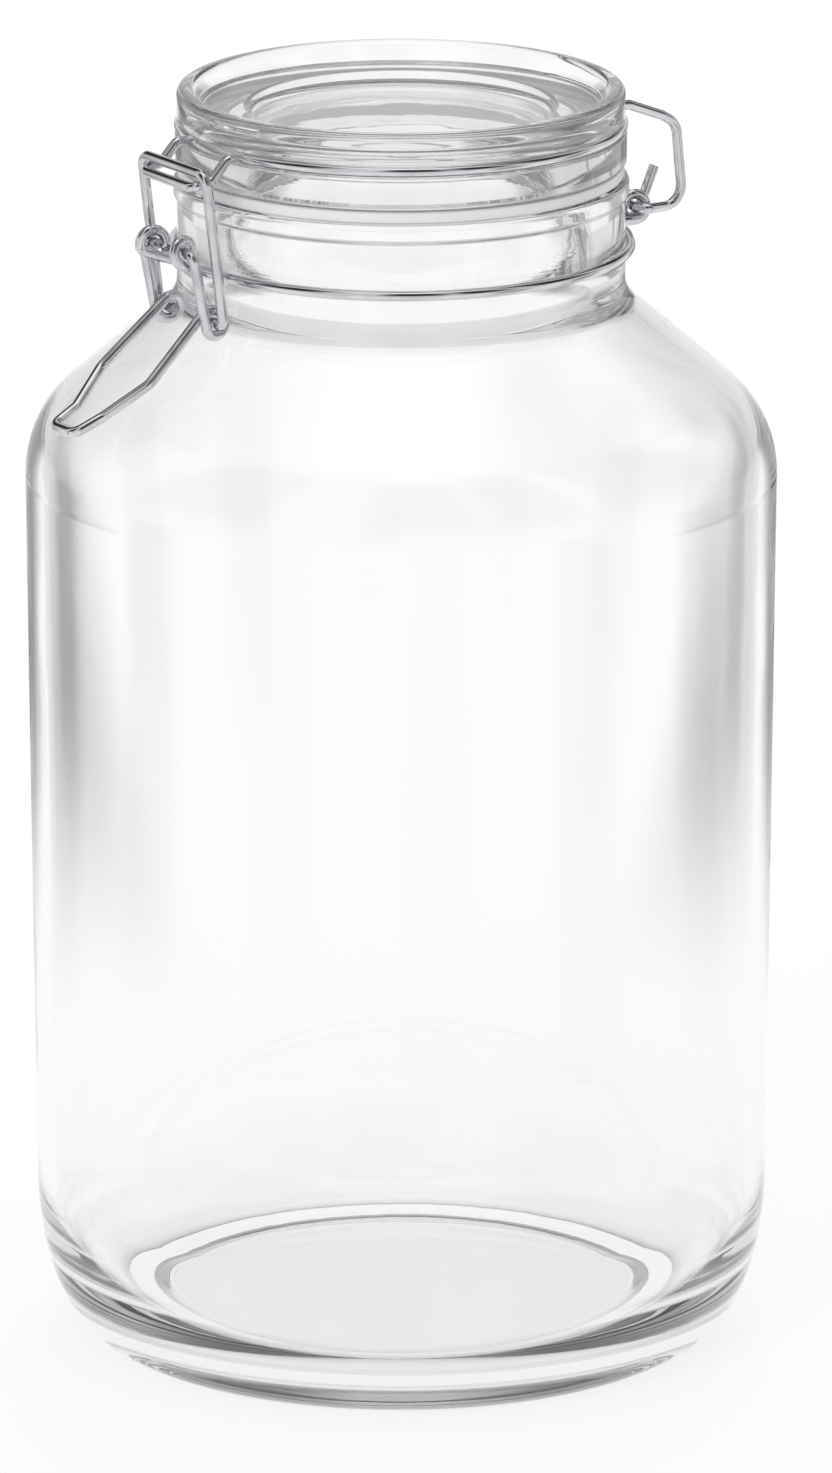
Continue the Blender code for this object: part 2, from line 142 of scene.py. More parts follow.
def rounded_path(corners: Sequence[Corner], step: float, support: float = 0.0) -> list[Vector]:
    """Follow corners with their bends drawn as arcs.

    Args:
        corners: Pairs of a place and the bend radius there.
        step: The most that one arc piece turns, in radians.
        support: Length of an extra short piece beside each arc, which keeps flats flat under smooth shading.

    Returns:
        Points along the path.
    """
    places = [Vector(place) for place, _ in corners]
    path = [places[0]]
    for before, here, after, (_, bend) in zip(places, places[1:], places[2:], corners[1:]):
        back = (before - here).normalized()
        ahead = (after - here).normalized()
        turn = math.pi - back.angle(ahead)
        if not bend or turn < STRAIGHT:
            path.append(here)
            continue
        room = min((before - here).length, (after - here).length) / 2
        setback = min(bend * math.tan(turn / 2), room)
        radius = setback / math.tan(turn / 2)
        centre = here + (back + ahead).normalized() * (radius / math.cos(turn / 2))
        spoke = here + back * setback - centre
        spin = spoke.cross(-back)
        count = max(LEAST_ARC_PIECES, math.ceil(turn / step))
        if support and room > setback + support:
            path.append(here + back * (setback + support))
        for index in range(count + 1):
            path.append(centre + Matrix.Rotation(turn * index / count, 3, spin) @ spoke)
        if support and room > setback + support:
            path.append(here + ahead * (setback + support))
    path.append(places[-1])
    return path


@dataclass
class Turned:
    """A solid of revolution on the jar's axis, made from an outline that runs down its outer side."""

    steps: int = 288
    arc_step: float = math.radians(7)
    support: float = 0.25 * MM
    merge: float = 0.01 * MM

    def outline(self, corners: Iterable[tuple[float, float, float]]) -> list[Vector]:
        """Points of an outline from (radius, height, bend) corners."""
        pairs = [((radius, 0.0, height), bend) for radius, height, bend in corners]
        return rounded_path(pairs, self.arc_step, self.support)

    def turn(self, name: str, points: Sequence[Vector], axis: Vector, closed: bool = False
             ) -> bpy.types.Object:
        """Turn an outline into a mesh object.

        Args:
            name: The object's name.
            points: The outline, in the XZ plane.
            axis: Where the jar's axis meets the base plane.
            closed: Whether the outline's last point joins its first.

        Returns:
            The object, linked to the scene, with its turned mesh.
        """
        mesh = bpy.data.meshes.new(name)
        edges = [(index, index + 1) for index in range(len(points) - 1)]
        if closed:
            edges.append((len(points) - 1, 0))
        mesh.from_pydata(points, edges, [])
        made = bpy.data.objects.new(name, mesh)
        bpy.context.scene.collection.objects.link(made)
        made.location = axis
        screw = made.modifiers.new("turn", "SCREW")
        screw.axis = "Z"
        screw.steps = self.steps
        screw.render_steps = self.steps
        screw.use_merge_vertices = True
        screw.merge_threshold = self.merge
        screw.use_smooth_shade = True
        return made


def ellipse_arc(centre: tuple[float, float], width: float, height: float, start: float, end: float,
                steps: int) -> list[tuple[float, float, float]]:
    """Corners along part of an ellipse.

    Args:
        centre: Radius and height of the ellipse's middle.
        width: Half its width.
        height: Half its height.
        start: First angle.
        end: Last angle.
        steps: Number of pieces.

    Returns:
        (radius, height, bend) corners with no bend, both ends included.
    """
    angles = [start + (end - start) * index / steps for index in range(steps + 1)]
    return [(centre[0] + width * math.cos(a), centre[1] + height * math.sin(a), 0.0) for a in angles]


def wire_groove(ring_radius: float, ring_up: float, above: float, below: float,
                steps: int = 10) -> list[tuple[float, float, float]]:
    """The hollow that a ring of wire lies in, from its upper lip down.

    Args:
        ring_radius: Radius of the wire ring's centre line.
        ring_up: Its height.
        above: Radius of the glass over the groove.
        below: Radius of the glass under the groove.
        steps: Number of pieces.

    Returns:
        (radius, height, bend) corners.
    """
    reach = WIRES.band_radius + GAPS.seated
    top = math.acos((ring_radius - above) / reach)
    bottom = math.acos((ring_radius - below) / reach)
    angles = [top - (top + bottom) * index / steps for index in range(steps + 1)]
    return [(ring_radius - reach * math.cos(a), ring_up + reach * math.sin(a), 0.0) for a in angles]


@dataclass(frozen=True)
class Finish:
    """What every finish starts from: a material, and places on the piece that its patterns are drawn by."""

    name: str

    def start(self, constants: dict[str, Any]) -> tuple[bpy.types.Material, bpy.types.Node,
                                                        bpy.types.NodeSocket]:
        """Begin the material.

        Args:
            constants: Values of the shader's own sockets.

        Returns:
            The material, its shader and the socket of places.
        """
        made = bpy.data.materials.new(self.name)
        made.use_nodes = True
        shader = made.node_tree.nodes["Principled BSDF"]
        for socket, value in constants.items():
            shader.inputs[socket].default_value = value
        return made, shader, add_node(made.node_tree, "ShaderNodeTexCoord").outputs["Object"]


@dataclass(frozen=True)
class MouldedGlass(Finish):
    """Soda-lime glass, blown or pressed in a mould: clear, neutral, with a fire-polished, wavy skin.

    The waves bend what is seen through the wall, so edges look drawn rather than ruled. Round the neck and
    lid, where the glass chills first against the mould, fine level streaks cross it. The ring it stands on is
    stippled and worn matt, which softens the bottom edge. The glass itself takes a little light, so it greys
    where the eye looks along the wall and stays clear where it looks across it.
    """

    tint: str = "#ffffff"
    body_tint: str = "#c5c5c9"
    absorption: float = 9.0
    ior: float = 1.52
    roughness: float = 0.0
    wave: float = 34 * MM
    wave_depth: float = 0.10 * MM
    wave_detail: float = 1.0
    ripple: float = 9 * MM
    ripple_depth: float = 0.010 * MM
    ripple_detail: float = 2.0
    streak: tuple[float, float] = (60 * MM, 2.0 * MM)
    streak_depth: float = 0.016 * MM
    streak_detail: float = 2.0
    streak_from: float = 232 * MM
    streak_full: float = 252 * MM
    worn_roughness: float = 0.35
    worn_full: float = 0.4 * MM
    worn_up_to: float = 1.6 * MM

    def make(self) -> bpy.types.Material:
        """Build the material.

        Returns:
            The material.
        """
        made, shader, where = self.start({"Base Color": linear_colour(self.tint), "IOR": self.ior,
                                          "Transmission Weight": 1.0})
        tree = made.node_tree
        slow = add_node(tree, "ShaderNodeTexNoise",
                        values={"Scale": 1 / self.wave, "Detail": self.wave_detail}, links={"Vector": where})
        quick = add_node(tree, "ShaderNodeTexNoise",
                         values={"Scale": 1 / self.ripple, "Detail": self.ripple_detail},
                         links={"Vector": where})
        waves = add_node(tree, "ShaderNodeBump", values={"Distance": self.wave_depth},
                         links={"Height": slow.outputs["Fac"]})
        skin = add_node(tree, "ShaderNodeBump", values={"Distance": self.ripple_depth},
                        links={"Height": quick.outputs["Fac"], "Normal": waves.outputs["Normal"]})
        around, across = self.streak
        drawn = add_node(tree, "ShaderNodeVectorMath", {"operation": "MULTIPLY"},
                         {1: (1 / around, 1 / around, 1 / across)}, {0: where})
        lines = add_node(tree, "ShaderNodeTexNoise", values={"Scale": 1.0, "Detail": self.streak_detail},
                         links={"Vector": drawn.outputs[0]})
        parts = add_node(tree, "ShaderNodeSeparateXYZ", links={0: where})
        chilled = add_node(tree, "ShaderNodeMapRange", {"interpolation_type": "SMOOTHSTEP"},
                           {"From Min": self.streak_from, "From Max": self.streak_full},
                           {"Value": parts.outputs["Z"]})
        worn = add_node(tree, "ShaderNodeMapRange", {"interpolation_type": "SMOOTHSTEP"},
                        {"From Min": self.worn_full, "From Max": self.worn_up_to,
                         "To Min": self.worn_roughness, "To Max": self.roughness},
                        {"Value": parts.outputs["Z"]})
        streaks = add_node(tree, "ShaderNodeBump", values={"Distance": self.streak_depth},
                           links={"Height": lines.outputs["Fac"], "Strength": chilled.outputs["Result"],
                                  "Normal": skin.outputs["Normal"]})
        depth = add_node(tree, "ShaderNodeVolumeAbsorption",
                         values={"Color": linear_colour(self.body_tint), "Density": self.absorption})
        tree.links.new(worn.outputs["Result"], shader.inputs["Roughness"])
        tree.links.new(streaks.outputs["Normal"], shader.inputs["Normal"])
        tree.links.new(depth.outputs["Volume"], tree.nodes["Material Output"].inputs["Volume"])
        return made


@dataclass(frozen=True)
class MouldedSilicone(Finish):
    """Food-grade silicone, press-moulded: milky, half see-through, with a soft even shine."""

    name: str = "milky_silicone_seal"
    colour: str = "#f3f5f6"
    ior: float = 1.41
    see_through: float = 0.2
    roughness: float = 0.32
    roughness_span: tuple[float, float] = (0.8, 1.2)
    grain: float = 0.6 * MM
    grain_depth: float = 0.02 * MM
    grain_detail: float = 3.0

    def make(self) -> bpy.types.Material:
        """Build the material.

        Returns:
            The material.
        """
        made, shader, where = self.start({"Base Color": linear_colour(self.colour), "IOR": self.ior,
                                          "Transmission Weight": self.see_through})
        tree = made.node_tree
        least, most = self.roughness_span
        grain = add_node(tree, "ShaderNodeTexNoise",
                         values={"Scale": 1 / self.grain, "Detail": self.grain_detail},
                         links={"Vector": where})
        spread = add_node(tree, "ShaderNodeMapRange",
                          values={"To Min": self.roughness * least, "To Max": self.roughness * most},
                          links={"Value": grain.outputs["Fac"]})
        bump = add_node(tree, "ShaderNodeBump", values={"Distance": self.grain_depth},
                        links={"Height": grain.outputs["Fac"]})
        tree.links.new(spread.outputs["Result"], shader.inputs["Roughness"])
        tree.links.new(bump.outputs["Normal"], shader.inputs["Normal"])
        return made


@dataclass(frozen=True)
class DrawnSteel(Finish):
    """Stainless steel wire, drawn through a die and bent cold: bright, with faint dull patches and die lines.

    The patches break up the long highlights. Real die lines are too fine to show, so they are drawn coarser.
    """

    wear: Wear
    colour: str = "#d8d9dc"
    shade: str = "#a8aaae"
    roughness: float = 0.07
    roughness_span: tuple[float, float] = (0.7, 1.6)
    patch: float = 5 * MM
    patch_detail: float = 4.0
    patch_from: float = 0.4
    patch_full: float = 0.7
    line: float = 0.9 * MM
    line_depth: float = 0.0012 * MM
    line_detail: float = 2.0

    def make(self) -> bpy.types.Material:
        """Build the material.

        Returns:
            The material.
        """
        made, shader, where = self.start({"Metallic": 1.0})
        tree = made.node_tree
        least, most = self.roughness_span
        patches = add_node(tree, "ShaderNodeTexNoise",
                           values={"Scale": 1 / self.patch, "Detail": self.patch_detail},
                           links={"Vector": where})
        lines = add_node(tree, "ShaderNodeTexNoise",
                         values={"Scale": 1 / self.line, "Detail": self.line_detail}, links={"Vector": where})
        weight = add_node(tree, "ShaderNodeMapRange",
                          values={"From Min": self.patch_from, "From Max": self.patch_full,
                                  "To Max": self.wear.value},
                          links={"Value": patches.outputs["Fac"]})
        colour = add_node(tree, "ShaderNodeMix", {"data_type": "RGBA"},
                          {"A": linear_colour(self.colour), "B": linear_colour(self.shade)},
                          {"Factor": weight.outputs["Result"]})
        spread = add_node(tree, "ShaderNodeMapRange",
                          values={"To Min": self.roughness * least, "To Max": self.roughness * most},
                          links={"Value": patches.outputs["Fac"]})
        bump = add_node(tree, "ShaderNodeBump", values={"Distance": self.line_depth},
                        links={"Height": lines.outputs["Fac"]})
        tree.links.new(colour.outputs["Result"], shader.inputs["Base Color"])
        tree.links.new(spread.outputs["Result"], shader.inputs["Roughness"])
        tree.links.new(bump.outputs["Normal"], shader.inputs["Normal"])
        return made


@dataclass
class JarBody(Turned):
    """The blown body: soft heel, shoulder arc and cone, grooved neck and beaded lip."""

    radius: float = 86.75 * MM
    foot_radius: float = 85.1 * MM
    shoulder_height: float = 204.85 * MM
    shoulder_bend: float = 27.3 * MM
    cone_rise: float = math.radians(40.4)
    heel_width: float = 16.5 * MM
    heel_height: float = 36.5 * MM
    wall: float = 4.0 * MM
    floor: float = 7.2 * MM
    inner_heel_width: float = 20.8 * MM
    foot_width: float = 8.6 * MM
    push_up_depth: float = 2.2 * MM
    push_up_run: float = 4.5 * MM
    push_up_bend: float = 6.0 * MM
    foot_bend: float = 1.0 * MM
    neck_radius: float = 51.5 * MM
    neck_foot_bend: float = 9.0 * MM
    mouth_radius: float = 43.2 * MM
    neck_height: float = 27.1 * MM
    lip_height: float = 3.6 * MM
    lip_overhang: float = 0.8 * MM
    lip_bend: float = 1.2 * MM
    band_rise: float = 11.2 * MM
    band_ring: float = 52.6 * MM
    heel_steps: int = 36

    @property
    def shoulder_corner(self) -> float:
        """Height at which the wall's line meets the cone's."""
        return self.shoulder_height + self.shoulder_bend * math.tan((math.pi / 2 - self.cone_rise) / 2)

    @property
    def neck_foot(self) -> float:
        """Height at which the cone meets the neck."""
        return self.shoulder_corner + (self.radius - self.neck_radius) * math.tan(self.cone_rise)

    @property
    def band_up(self) -> float:
        """Height of the neck band's ring."""
        return self.neck_foot + self.band_rise

    @property
    def mouth_up(self) -> float:
        """Height of the lip's top."""
        return self.neck_foot + self.neck_height

    def build(self, axis: Vector) -> bpy.types.Object:
        """Turn the body.

        Args:
            axis: Where the jar's axis meets the base plane.

        Returns:
            The body.
        """
        inner_wall = self.foot_radius - self.wall
        inner_body = self.radius - self.wall
        inner_corner = (self.shoulder_corner - self.wall / math.cos(self.cone_rise)
                        + self.wall * math.tan(self.cone_rise))
        inner_neck = inner_corner + (inner_body - self.mouth_radius) * math.tan(self.cone_rise)
        bead = self.neck_radius + self.lip_overhang
        under_lip = self.mouth_up - self.lip_height
        push_up = self.foot_radius - self.heel_width - self.foot_width
        inside = [
            (0.0, self.floor, 0.0),
            *ellipse_arc((inner_wall - self.inner_heel_width, self.heel_height), self.inner_heel_width,
                         self.heel_height - self.floor, -math.pi / 2, 0.0, self.heel_steps),
            (inner_body, inner_corner, self.shoulder_bend - self.wall),
            (self.mouth_radius, inner_neck, self.neck_foot_bend),
            (self.mouth_radius, self.mouth_up, self.lip_bend),
        ]
        outside = [
            (bead, self.mouth_up, self.lip_bend),
            (bead, under_lip, self.lip_bend),
            (self.neck_radius, under_lip - self.lip_overhang, self.lip_overhang),
            *wire_groove(self.band_ring, self.band_up, self.neck_radius, self.neck_radius),
            (self.neck_radius, self.neck_foot, self.neck_foot_bend),
            (self.radius, self.shoulder_corner, self.shoulder_bend),
            *ellipse_arc((self.foot_radius - self.heel_width, self.heel_height), self.heel_width,
                         self.heel_height, 0.0, -math.pi / 2, self.heel_steps),
            (push_up, 0.0, self.foot_bend),
            (push_up - self.push_up_run, self.push_up_depth, self.push_up_bend),
            (0.0, self.push_up_depth, 0.0),
        ]
        return self.turn("jar_body", self.outline(inside + outside), axis)


@dataclass
class Seal(Turned):
    """The flat ring that the lid presses on the lip."""

    thickness: float = 2.8 * MM
    outer_radius: float = 51.1 * MM
    bend: float = 0.6 * MM

    def build(self, axis: Vector, up: float, inner: float) -> bpy.types.Object:
        """Turn the ring.

        Args:
            axis: Where the jar's axis meets the base plane.
            up: Height of the ring's underside.
            inner: Its inner radius.

        Returns:
            The ring.
        """
        middle = (inner + self.outer_radius) / 2
        top = up + self.thickness
        corners = [
            (middle, top, 0.0),
            (self.outer_radius, top, self.bend),
            (self.outer_radius, up, self.bend),
            (inner, up, self.bend / 2),
            (inner, top, self.bend / 2),
            (middle, top, 0.0),
        ]
        return self.turn("seal_ring", self.outline(corners)[:-1], axis, closed=True)


@dataclass
class Lid(Turned):
    """The pressed lid: raised rim, well and recess on top, wire groove, flange and spigot."""

    flange_radius: float = 51.8 * MM
    flange_bend: float = 0.5 * MM
    flange_foot_bend: float = 1.2 * MM
    rim_radius: float = 51.4 * MM
    height: float = 17.5 * MM
    rim_width: float = 3.9 * MM
    rim_bend: float = 1.7 * MM
    well_depth: float = 4.5 * MM
    recess_radius: float = 34.4 * MM
    recess_depth: float = 1.6 * MM
    recess_bend: float = 1.2 * MM
    wire_rise: float = 8.9 * MM
    wire_ring: float = 50.8 * MM
    spigot_radius: float = 41.0 * MM
    spigot_width: float = 5.5 * MM
    spigot_depth: float = 5.6 * MM
    spigot_bend: float = 1.4 * MM
    crown: float = 6.5 * MM

    def build(self, axis: Vector, up: float) -> bpy.types.Object:
        """Turn the lid.

        Args:
            axis: Where the jar's axis meets the base plane.
            up: Height of the flange's underside.

        Returns:
            The lid.
        """
        top = up + self.height
        well = top - self.well_depth
        recess = well - self.recess_depth
        rim_inner = self.rim_radius - self.rim_width
        foot = up - self.spigot_depth
        spigot_inner = self.spigot_radius - self.spigot_width
        wire_up = up + self.wire_rise
        corners = [
            (0.0, recess, 0.0),
            (self.recess_radius, recess, self.recess_bend),
            (self.recess_radius + self.recess_bend, well, self.recess_bend),
            (rim_inner - self.rim_bend, well, self.rim_bend),
            (rim_inner, top, self.rim_bend),
            (self.rim_radius, top, self.rim_bend),
            *wire_groove(self.wire_ring, wire_up, self.rim_radius, self.wire_ring),
            (self.flange_radius, wire_up - WIRES.band_radius - GAPS.seated, self.flange_bend),
            (self.flange_radius, up, self.flange_foot_bend),
            (self.spigot_radius, up, 0.0),
            (self.spigot_radius, foot, self.spigot_bend),
            (spigot_inner, foot, self.spigot_bend),
            (spigot_inner - self.spigot_bend, recess - self.crown, self.spigot_bend),
            (0.0, recess - self.crown, 0.0),
        ]
        return self.turn("lid_disc", self.outline(corners), axis)


@dataclass
class BentWire:
    """A round wire bent to a path that is the same on both sides of the jar's middle plane."""

    ring_step: float = math.radians(2)
    bend_step: float = math.radians(10)
    sides: int = 5

    def ring(self, radius: float, up: float, start_side: float, end_side: float) -> list[Vector]:
        """Points round the +X half of a ring.

        Args:
            radius: The ring's radius.
            up: Its height.
            start_side: How far to the side it starts at the hinge.
            end_side: How far to the side it ends at the clasp.

        Returns:
            The points.
        """
        start = math.pi / 2 - math.asin(start_side / radius)
        end = -math.pi / 2 + math.asin(end_side / radius)
        count = math.ceil((start - end) / self.ring_step)
        angles = [start + (end - start) * index / count for index in range(count + 1)]
        return [Vector((radius * math.cos(a), radius * math.sin(a), up)) for a in angles]

    def coil(self, end: End, centre: tuple[float, float], start: float, wrap: float,
             sides: tuple[float, float]) -> list[Vector]:
        """Points round a coil on a side-to-side axis.

        Args:
            end: The clasp or the hinge.
            centre: Out and up of the coil's axis.
            start: First angle, from out towards up.
            wrap: How far it turns.
            sides: Its first and last place to the side.

        Returns:
            The points.
        """
        count = math.ceil(abs(wrap) / self.bend_step)
        made = []
        for index in range(count + 1):
            share = index / count
            angle = start + wrap * share
            out = centre[0] + WIRES.coil_radius * math.cos(angle)
            up = centre[1] + WIRES.coil_radius * math.sin(angle)
            made.append(end.place(sides[0] + (sides[1] - sides[0]) * share, out, up))
        return made

    def sweep(self, name: str, corners: Sequence[Corner], radius: float, axis: Vector) -> bpy.types.Object:
        """Make the wire from half of its path.

        Args:
            name: The object's name.
            corners: Half of the path, from its free end to the middle plane.
            radius: The wire's radius.
            axis: Where the jar's axis meets the base plane.

        Returns:
            The wire.
        """
        half = rounded_path(corners, self.bend_step)[:-1]
        points = half + [Vector((-p.x, p.y, p.z)) for p in reversed(half)]
        data = bpy.data.curves.new(name, "CURVE")
        data.dimensions = "3D"
        data.bevel_depth = radius
        data.bevel_resolution = self.sides
        data.use_fill_caps = True
        spline = data.splines.new("POLY")
        spline.points.add(len(points) - 1)
        for spot, place in zip(spline.points, points):
            spot.co = (*place, 1.0)
        spline.use_smooth = True
        made = bpy.data.objects.new(name, data)
        bpy.context.scene.collection.objects.link(made)
        made.location = axis
        return made


def touch_angle(point: tuple[float, float], centre: tuple[float, float], turning: int) -> float:
    """Where a straight wire through a point meets a coil.

    Args:
        point: Out and up of the point.
        centre: Out and up of the coil's axis.
        turning: One where the wire goes on from out towards up, minus one where it goes the other way.

    Returns:
        The angle on the coil.
    """
    out = centre[0] - point[0]
    up = centre[1] - point[1]
    heading = math.atan2(up, out) - turning * math.asin(WIRES.coil_radius / math.hypot(out, up))
    return heading - turning * math.pi / 2


@dataclass
class NeckBand(BentWire):
    """The wire round the neck, with eyelets at the clasp and eyelets with cut tails at the hinge."""

    ring_radius: float = 52.6 * MM
    clasp_side: float = 6.7 * MM
    clasp_reach: float = 10.4 * MM
    clasp_lift: float = 7.0 * MM
    clasp_end: float = math.radians(190)
    bridge_drop: float = 1.4 * MM
    hinge_side: float = 9.2 * MM
    hinge_reach: float = 5.6 * MM
    hinge_lift: float = 2.9 * MM
    tail_lean: float = math.radians(66)
    tail_length: float = 10.5 * MM

    def clasp(self, up: float) -> tuple[float, float]:
        """Out and up of the clasp's eyelets, for a band at height up."""
        return self.ring_radius + self.clasp_reach, up + self.clasp_lift

    def hinge(self, up: float) -> tuple[float, float]:
        """Out and up of the hinge's eyelets, for a band at height up."""
        return self.ring_radius + self.hinge_reach, up + self.hinge_lift

    def build(self, axis: Vector, up: float) -> bpy.types.Object:
        """Bend the band.

        Args:
            axis: Where the jar's axis meets the base plane.
            up: Height of the band's ring.

        Returns:
            The band.
        """
        hinge, clasp = self.hinge(up), self.clasp(up)
        hinge_side = self.hinge_side + WIRES.coil_pitch / 2
        clasp_side = self.clasp_side + WIRES.coil_pitch / 2
        hinge_out = math.sqrt(self.ring_radius ** 2 - hinge_side ** 2)
        clasp_out = math.sqrt(self.ring_radius ** 2 - clasp_side ** 2)
        hinge_start = touch_angle((hinge_out, up), hinge, 1)
        clasp_start = touch_angle((clasp_out, up), clasp, 1)
        wrap = math.tau + self.tail_lean - math.pi / 2 - hinge_start
        drift = WIRES.coil_pitch * wrap / math.tau
        hinge_coil = self.coil(End.HINGE, hinge, hinge_start, wrap, (hinge_side, hinge_side - drift))
        clasp_coil = self.coil(End.CLASP, clasp, clasp_start, self.clasp_end - clasp_start,
                               (clasp_side, clasp_side - WIRES.coil_pitch))
        tail = self.tail_length * Vector((0.0, math.cos(self.tail_lean), math.sin(self.tail_lean)))
        bridge = clasp_coil[-1] - Vector((0.0, 0.0, self.bridge_drop))
        ring = self.ring(self.ring_radius, up, hinge_side, clasp_side)
        corners: list[Corner] = [(hinge_coil[-1] + tail, 0.0)]
        corners += [(place, 0.0) for place in reversed(hinge_coil)]
        corners += [(ring[0], WIRES.bend)]
        corners += [(place, 0.0) for place in ring[1:-1]]
        corners += [(ring[-1], WIRES.bend)]
        corners += [(place, 0.0) for place in clasp_coil]
        corners += [(bridge, self.bridge_drop), (Vector((0.0, bridge.y, bridge.z)), 0.0)]
        return self.sweep("neck_band_wire", corners, WIRES.band_radius, axis)


@dataclass
class LidWire(BentWire):
    """The wire in the lid's groove, with a tab at the clasp and two arms down to the hinge."""

    exit_run: float = 3.0 * MM
    tab_side: float = 10.8 * MM
    tab_knee_reach: float = 7.1 * MM
    tab_knee_drop: float = 4.3 * MM
    tab_reach: float = 12.0 * MM
    tab_drop: float = 5.5 * MM
    knee_reach: float = 12.2 * MM
    knee_drop: float = 3.6 * MM
    corner_reach: float = 16.2 * MM
    corner_drop: float = 5.9 * MM
    foot_reach: float = 10.8 * MM
    arm_bend: float = 4.6 * MM
    axle_past: float = 0.6 * MM

    def tab(self, ring: float, up: float) -> tuple[tuple[float, float], tuple[float, float]]:
        """Out and up of the tab's knee and of its end bar."""
        knee = (ring + self.tab_knee_reach, up - self.tab_knee_drop)
        return knee, (ring + self.tab_reach, up - self.tab_drop)

    def build(self, axis: Vector, ring: float, up: float, band: NeckBand, band_up: float) -> bpy.types.Object:
        """Bend the wire.

        Args:
            axis: Where the jar's axis meets the base plane.
            ring: Radius of the ring in the lid's groove.
            up: Height of that ring.
            band: The neck band that the arms hook into.
            band_up: Height of that band.

        Returns:
            The wire.
        """
        side = band.hinge_side + WIRES.coil_pitch / 2 + 2 * WIRES.band_radius + GAPS.turning
        inner_side = band.hinge_side - WIRES.coil_pitch / 2 - WIRES.band_radius - self.axle_past
        hinge_out, hinge_up = band.hinge(band_up)
        exit_out = ring + self.exit_run
        loop = self.ring(ring, up, side, self.tab_side)
        knee, end = self.tab(ring, up)
        at_hinge, at_clasp = End.HINGE.place, End.CLASP.place
        corners: list[Corner] = [
            (at_hinge(inner_side, hinge_out, hinge_up), 0.0),
            (at_hinge(side, hinge_out, hinge_up), WIRES.bend),
            (at_hinge(side, hinge_out + self.foot_reach, hinge_up), self.arm_bend),
            (at_hinge(side, ring + self.corner_reach, up - self.corner_drop), self.arm_bend),
            (at_hinge(side, ring + self.knee_reach, up - self.knee_drop), self.arm_bend),
            (at_hinge(side, exit_out, up), WIRES.bend),
            (loop[0], WIRES.bend),
            *[(place, 0.0) for place in loop[1:-1]],
            (loop[-1], WIRES.bend),
            (at_clasp(self.tab_side, exit_out, up), WIRES.bend),
            (at_clasp(self.tab_side, *knee), WIRES.bend),
            (at_clasp(self.tab_side, *end), WIRES.bend),
            (at_clasp(0.0, *end), 0.0),
        ]
        return self.sweep("lid_wire_loop", corners, WIRES.band_radius, axis)


@dataclass
class Lever(BentWire):
    """The handle wire: pins in the neck band's eyelets, a loop each side for the bail, and the grip."""

    loop_reach: float = 6.2 * MM
    loop_drop: float = 16.5 * MM
    knee: tuple[float, float, float] = (10.3 * MM, 17.7 * MM, 11.8 * MM)
    waist: tuple[float, float, float] = (5.7 * MM, 27.3 * MM, 19.0 * MM)
    tip: tuple[float, float, float] = (4.6 * MM, 34.2 * MM, 22.2 * MM)
    grip_bend: float = 5.0 * MM
    tip_bend: float = 4.0 * MM

    def side(self, band: NeckBand) -> float:
        """How far to the side the lever's shanks run, clear of the eyelets."""
        return (band.clasp_side + WIRES.coil_pitch / 2 + WIRES.band_radius + GAPS.turning
                + WIRES.lever_radius)

    def loop(self, eyelet: tuple[float, float]) -> tuple[float, float]:
        """Out and up of the loops that carry the bail."""
        return eyelet[0] - self.loop_reach, eyelet[1] - self.loop_drop

    def build(self, axis: Vector, band: NeckBand, band_up: float) -> bpy.types.Object:
        """Bend the lever.

        Args:
            axis: Where the jar's axis meets the base plane.
            band: The neck band whose eyelets hold its pins.
            band_up: Height of that band.

        Returns:
            The lever.
        """
        eyelet = band.clasp(band_up)
        loop = self.loop(eyelet)
        side = self.side(band)
        knee = (loop[0] + self.knee[1], loop[1] - self.knee[2])
        start = touch_angle(eyelet, loop, -1)
        leave = touch_angle(knee, loop, 1)
        wrap = -((start - leave) % math.tau)
        pin_end = band.clasp_side - WIRES.coil_pitch / 2 - WIRES.band_radius
        at_clasp = End.CLASP.place
        corners: list[Corner] = [(at_clasp(pin_end, *eyelet), 0.0), (at_clasp(side, *eyelet), WIRES.bend)]
        coil = self.coil(End.CLASP, loop, start, wrap, (side, side - WIRES.coil_pitch))
        corners += [(place, 0.0) for place in coil]
        for (across, out, down), bend in ((self.knee, self.grip_bend), (self.waist, self.grip_bend),
                                          (self.tip, self.tip_bend)):
            corners.append((at_clasp(across, loop[0] + out, loop[1] - down), bend))
        corners.append((at_clasp(0.0, loop[0] + self.tip[1], loop[1] - self.tip[2]), 0.0))
        return self.sweep("lever_wire", corners, WIRES.lever_radius, axis)


